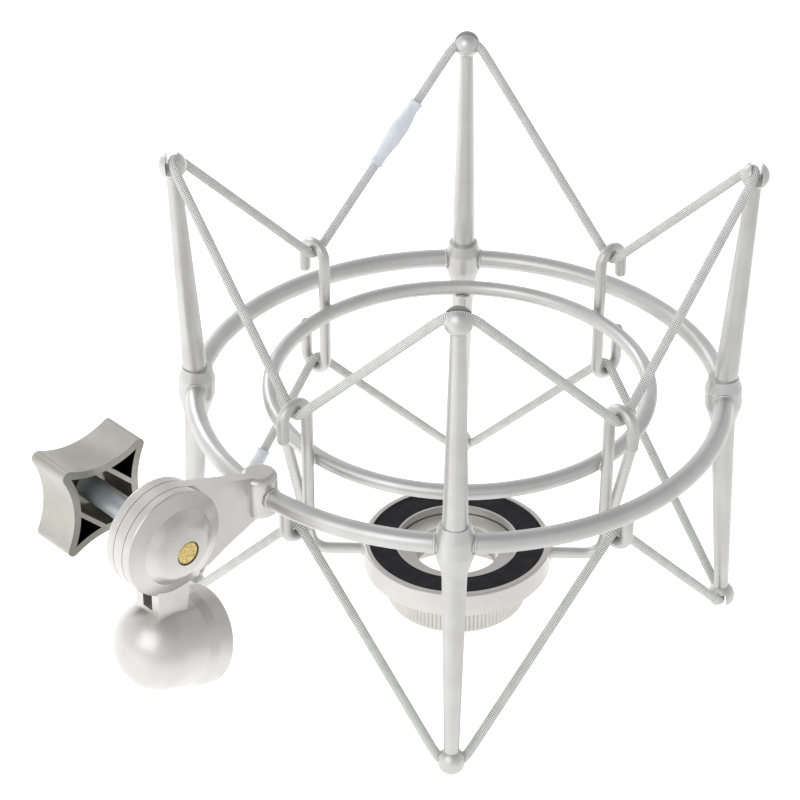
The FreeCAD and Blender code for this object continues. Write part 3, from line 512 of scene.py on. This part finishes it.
def shrink_sleeve(name, hook, post):
    """A shrunk sleeve on the run from a hook to a post: flared mouths, pinched
    behind them, and a lump in the middle, as over a cord's overlapping ends."""
    plain = 1.62 * MM                    # radii: the sleeve's own, and what changes it
    flare = 0.25 * MM
    waist = 0.12 * MM
    swell = 0.62 * MM
    crumple = 0.16 * MM
    run = post - hook
    length = run.length * (SLEEVE_END - SLEEVE_START)
    bm = bmesh.new()
    bmesh.ops.create_cone(bm, cap_ends=False, segments=24, radius1=1.0, radius2=1.0, depth=1.0)
    lengthwise = [edge for edge in bm.edges if abs(edge.verts[0].co.z - edge.verts[1].co.z) > 0.5]
    bmesh.ops.subdivide_edges(bm, edges=lengthwise, cuts=27, use_grid_fill=True)
    for vert in bm.verts:
        along = vert.co.z + 0.5
        from_mouth = min(along, 1 - along)
        ripple = noise.noise(Vector((vert.co.x, vert.co.y, along * 9.0)) * 1.3)
        radius = (plain + flare * hump(from_mouth, 0.035) - waist * hump(from_mouth - 0.12, 0.06)
                  + swell * hump(along - 0.52, 0.24) + crumple * ripple)
        vert.co.x *= radius
        vert.co.y *= radius
        vert.co.z *= length
    mouths = [edge for edge in bm.edges if edge.is_boundary]
    lips = bmesh.ops.extrude_edge_only(bm, edges=mouths)
    for vert in (item for item in lips["geom"] if isinstance(item, bmesh.types.BMVert)):
        inner = Vector((vert.co.x, vert.co.y, 0)).normalized() * CORD_RAD * 0.98
        vert.co = Vector((inner.x, inner.y, vert.co.z))
    middle = hook + run * (SLEEVE_START + SLEEVE_END) / 2
    bmesh.ops.transform(bm, matrix=turn_to(run.normalized(), middle), verts=bm.verts)
    return finish_mesh(bm, name)


def elastic_cords(cord_material, sleeve_material):
    """Both cords with their sleeves. They stretch between the posts and the hooks."""
    for name, side, joint in (("upper_cord", 1, 2), ("lower_cord", -1, 4)):
        cord = tube_along(name + "_braid", cord_route(side, joint))
        lay_braid(cord.data)
        close_seam(cord.data)
        paint(cord, cord_material)
        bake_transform(cord)
        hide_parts(name)
        corners = cord_corners(side)
        sleeve = shrink_sleeve(name + "_shrink", corners[SLEEVE_HOOK][0], corners[joint][0])
        paint(sleeve, sleeve_material)
        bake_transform(sleeve)
        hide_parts(name + "_sleeve")


# ---------------------------------------------------------------- knurled grip

def knurled_grip(material):
    """The nut's grip: straight flutes cut around its side."""
    flutes = 104
    sides = flutes * 4
    flute_depth = 0.34
    widest = 18.3
    # radius and height in mm, and the share of a flute's depth, around the section
    profile = [(16.5, -55.5, 0.0), (16.5, -62.0, 0.0), (17.3, -62.0, 0.0), (17.75, -61.8, 0.6),
               (18.05, -61.3, 1.0), (18.05, -54.6, 1.0), (18.15, -54.1, 0.0),
               (widest, -53.9, 0.0), (widest, -53.0, 0.0), (17.9, -52.6, 0.0),
               (13.12, -52.6, 0.0), (13.12, -55.5, 0.0)]
    bm = bmesh.new()
    loop = bmesh.ops.create_circle(bm, cap_ends=False, segments=sides, radius=1.0)["verts"]
    edges = bm.edges[:]
    first = edges
    for index, (reach, height, share) in enumerate(profile):
        if index:
            grown = bmesh.ops.extrude_edge_only(bm, edges=edges)["geom"]
            loop = [item for item in grown if isinstance(item, bmesh.types.BMVert)]
            edges = [item for item in grown if isinstance(item, bmesh.types.BMEdge)]
        for vert in loop:
            angle = math.atan2(vert.co.y, vert.co.x)
            groove = 0.5 - 0.5 * math.cos(flutes * angle)
            out = (reach - flute_depth * share * groove ** 1.5) * MM
            vert.co = Vector((math.cos(angle) * out, math.sin(angle) * out, height * MM))
    bmesh.ops.bridge_loops(bm, edges=first + edges)
    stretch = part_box("knurled_grip")[1].x / (widest * MM)
    bmesh.ops.scale(bm, vec=(stretch, stretch, 1.0), verts=bm.verts)
    grip = finish_mesh(bm, "knurled_grip_fluted", smooth=False)
    paint(grip, material)
    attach(grip, "nut")
    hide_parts("knurled_grip")


# ---------------------------------------------------------------- threads

def thread_ridge(name, axis, start, bore, pitch, length, material, body):
    """A helical ridge that stands in from a bore's wall, for whole turns only."""
    steps = 40                           # to a turn
    crest = 0.06 * pitch                 # half widths at the ridge's top and foot
    foot = 0.42 * pitch
    wall = bore + 0.03 * MM
    top = bore - 0.54 * pitch
    turns = int(length / pitch) - 1
    section = [(wall, -foot), (top, -crest), (top, crest), (wall, foot)]
    bm = bmesh.new()
    verts = [bm.verts.new((reach, 0, height)) for reach, height in section]
    edges = [bm.edges.new(pair) for pair in zip(verts, verts[1:] + verts[:1])]
    bm.faces.new(verts)
    bmesh.ops.spin(bm, geom=verts + edges, cent=(0, 0, 0), axis=(0, 0, 1),
                   dvec=(0, 0, pitch / steps), angle=math.tau * turns, steps=steps * turns,
                   use_duplicate=False)
    bmesh.ops.translate(bm, vec=(0, 0, pitch * 0.5), verts=bm.verts)
    bmesh.ops.holes_fill(bm, edges=[edge for edge in bm.edges if edge.is_boundary], sides=4)
    bmesh.ops.transform(bm, matrix=turn_to(axis, start), verts=bm.verts)
    ridge = finish_mesh(bm, name, smooth=False)
    paint(ridge, material)
    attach(ridge, body)


def threads(material):
    """The microphone's thread in the nut and the stand's thread in the bell."""
    nut_low, nut_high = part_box("thread_sleeve")
    thread_ridge("nut_thread", UP, Vector((0, 0, nut_low.z)), NUT_BORE, NUT_PITCH,
                 nut_high.z - nut_low.z, material, "nut")
    mouth = -OUTWARDS * math.cos(BELL_PITCH) - UP * math.sin(BELL_PITCH)
    neck = OUTWARDS * math.sin(NECK_SWING) - UP * math.cos(NECK_SWING)
    bell = HINGE + neck * BELL_DROP
    thread_ridge("stand_thread", mouth, bell + mouth * STAND_INSET, STAND_BORE, STAND_PITCH,
                 STAND_LENGTH, material, "adaptor")


# ---------------------------------------------------------------- welds and fillets

def bead(centre, axis, around, thick, seed):
    """A small ring of weld metal around a joint, slightly uneven."""
    bm = bmesh.new()
    bmesh.ops.create_circle(bm, cap_ends=False, segments=10, radius=thick)
    bmesh.ops.rotate(bm, cent=(0, 0, 0), matrix=Matrix.Rotation(math.pi / 2, 3, "X"),
                     verts=bm.verts)
    bmesh.ops.translate(bm, vec=(around, 0, 0), verts=bm.verts)
    bmesh.ops.spin(bm, geom=bm.verts[:] + bm.edges[:], cent=(0, 0, 0), axis=(0, 0, 1),
                   angle=math.tau, steps=32, use_merge=True)
    for vert in bm.verts:
        ripple = noise.noise(vert.co / MM * 0.9 + Vector((seed, 0, 0)))
        vert.co += vert.co.normalized() * ripple * 0.12 * MM
    bmesh.ops.transform(bm, matrix=turn_to(axis, centre), verts=bm.verts)
    return bm


def join_beads(name, beads, material, body):
    """Several beads as one piece."""
    whole = bmesh.new()
    for part in beads:
        spare = bpy.data.meshes.new("spare")
        part.to_mesh(spare)
        part.free()
        whole.from_mesh(spare)
        bpy.data.meshes.remove(spare)
    piece = finish_mesh(whole, name)
    paint(piece, material)
    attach(piece, body)


def welds(material):
    """Welds between each hook and the inner ring, and at both ends of each arm."""
    hook_out = (HOOK_STEM + BASKET_RAD) / 2 + 0.25 * MM
    hook_bead = (1.0 * MM, 0.55 * MM)
    for seed, (place, bearing) in enumerate(HOOKS.items()):
        centre = at_bearing(bearing, (hook_out, 0, BASKET_RISE))
        beads = [bead(centre, at_bearing(bearing, (1, 0, 0)), *hook_bead, seed)]
        join_beads("hook_weld_" + place, beads, material, "basket")
    down = (ARM_BEND - ARM_TOP).normalized()
    arm_thick = 0.5 * MM
    for seed, (place, bearing) in enumerate(POSTS.items()):
        top = at_bearing(bearing, ARM_TOP + down * 0.6 * MM)
        foot = at_bearing(bearing, (CUP_RAD, 0, ARM_BEND.z))
        beads = [bead(top, at_bearing(bearing, down), WIRE_RAD + 0.1 * MM, arm_thick, seed + 10),
                 bead(foot, at_bearing(bearing, (1, 0, 0)), WIRE_RAD, arm_thick, seed + 20)]
        join_beads("arm_weld_" + place, beads, material, "basket")


def collar_fillets(material):
    """Solder at each place where the outer ring enters a collar or the bracket's boss."""
    seats = dict(POSTS, bracket=BRACKET_BEARING)
    half = math.degrees(math.asin(COLLAR_RAD / RING_RAD))
    for number, (place, bearing) in enumerate(seats.items()):
        beads = []
        for side in (-1, 1):
            angle = bearing + side * half
            centre = at_bearing(angle, (RING_RAD, 0, 0))
            beads.append(bead(centre, at_bearing(angle, (0, 1, 0)),
                              RING_TUBE - 0.05 * MM, 0.36 * MM, number * 2 + side))
        join_beads("collar_fillet_" + place, beads, material, "frame")


# ---------------------------------------------------------------- whole object

def finish_cad(wire, casting, knob, steel, nut, brass, rubber):
    """Gives each carried-over node the finish of the real piece."""
    special = {"swivel_bracket": casting, "stand_adaptor": casting, "base_cup": casting,
               "clamp_knob": knob, "clamp_bolt": steel, "thread_sleeve": nut,
               "bolt_insert": brass, "base_pad": rubber}
    for name, node in nodes.items():
        paint(node, special.get(name, wire))


def table_top():
    """A table under the object's lowest point, much wider than the object."""
    bm = bmesh.new()
    bmesh.ops.create_grid(bm, x_segments=1, y_segments=1, size=3.0)
    bmesh.ops.translate(bm, vec=(0, 0, cad_box[0].z), verts=bm.verts)
    floor = finish_mesh(bm, "table_top", smooth=False)
    paint(floor, pale_floor())


def studio_walls():
    """A white surround that is dimmer overhead and towards the right, so that round
    metal is shaded from one flank to the other."""
    world = bpy.data.worlds.new("studio")
    bpy.context.scene.world = world
    world.use_nodes = True
    tree = world.node_tree
    tree.nodes.clear()
    direction = add(tree, "ShaderNodeTexCoord").outputs["Generated"]
    split = add(tree, "ShaderNodeSeparateXYZ", {"Vector": direction})
    walls = add(tree, "ShaderNodeMapRange", {
        "Value": split.outputs["Z"], "From Min": 0.40, "From Max": 0.92,
        "To Min": 1.05, "To Max": 0.56}).outputs["Result"]
    flank = add(tree, "ShaderNodeMapRange", {
        "Value": split.outputs["X"], "From Min": -0.5, "From Max": 0.6,
        "To Min": 1.12, "To Max": 0.75}).outputs["Result"]
    strength = add(tree, "ShaderNodeMath", {0: walls, 1: flank}, operation="MULTIPLY").outputs[0]
    glow = add(tree, "ShaderNodeBackground", {"Color": linear("#FDFDFF"), "Strength": strength})
    add(tree, "ShaderNodeOutputWorld", {"Surface": glow.outputs[0]})


def soft_light(name, place, size, power):
    """A square lamp that points at the object's middle."""
    data = bpy.data.lights.new(name, "AREA")
    data.shape = "SQUARE"
    data.size = size
    data.energy = power
    lamp = bpy.data.objects.new(name, data)
    lamp.location = place
    lamp.rotation_mode = "QUATERNION"
    lamp.rotation_quaternion = (-Vector(place)).to_track_quat("-Z", "Y")
    bpy.context.scene.collection.objects.link(lamp)


def camera():
    """The view from the front, a little from above."""
    target = Vector((-14.6, -2.0, -2.2)) * MM
    azimuth = math.radians(1.86)
    elevation = math.radians(32.81)
    distance = 671.8 * MM
    roll = math.radians(0.15)
    data = bpy.data.cameras.new("view")
    data.lens = 122.5
    data.sensor_width = 36.0
    data.clip_start = 0.01
    eye = bpy.data.objects.new("view", data)
    back = Vector((math.sin(azimuth) * math.cos(elevation),
                   -math.cos(azimuth) * math.cos(elevation), math.sin(elevation)))
    eye.location = target + back * distance
    eye.rotation_mode = "QUATERNION"
    facing = (-back).to_track_quat("-Z", "Y")
    eye.rotation_quaternion = facing @ Matrix.Rotation(roll, 3, "Z").to_quaternion()
    bpy.context.scene.collection.objects.link(eye)
    bpy.context.scene.camera = eye


def build():
    wire = blasted_nickel("nickel_plated_wire", "#C9C9C8", "#BCBBB9",
                          grain_mm=0.25, grain_depth=0.03, roughness=0.37, metallic=0.82)
    casting = blasted_nickel("nickel_plated_casting", "#CBCAC6", "#C1C0BC",
                             grain_mm=0.4, grain_depth=0.03, roughness=0.33, metallic=0.9)
    knob = blasted_nickel("nickel_plated_knob", "#B2B1A9", "#A3A29A",
                          grain_mm=0.4, grain_depth=0.03, roughness=0.36, metallic=0.95)
    nut = blasted_nickel("nickel_plated_nut", "#CCCAC4", "#BDBBB5",
                         grain_mm=0.3, grain_depth=0.03, roughness=0.36, metallic=0.88)
    # Painted shade deep in the knob's two inner corners.
    paint_cavity_shade(knob)
    steel = turned_steel("turned_bolt_steel", "#C9D0D3", "#AEB7BB")
    finish_cad(wire, casting, knob, steel, nut, filed_brass(), moulded_rubber())
    elastic_cords(braided_cord(), shrink_tube())
    knurled_grip(nut)
    threads(nut)
    welds(wire)
    collar_fillets(wire)
    table_top()
    studio_walls()
    soft_light("key", (-0.55, -0.85, 0.75), 0.9, 2.8)
    soft_light("rim", (-0.6, 0.7, 0.5), 0.4, 1.2)
    camera()
    bpy.context.scene.view_settings.view_transform = "Standard"


build()
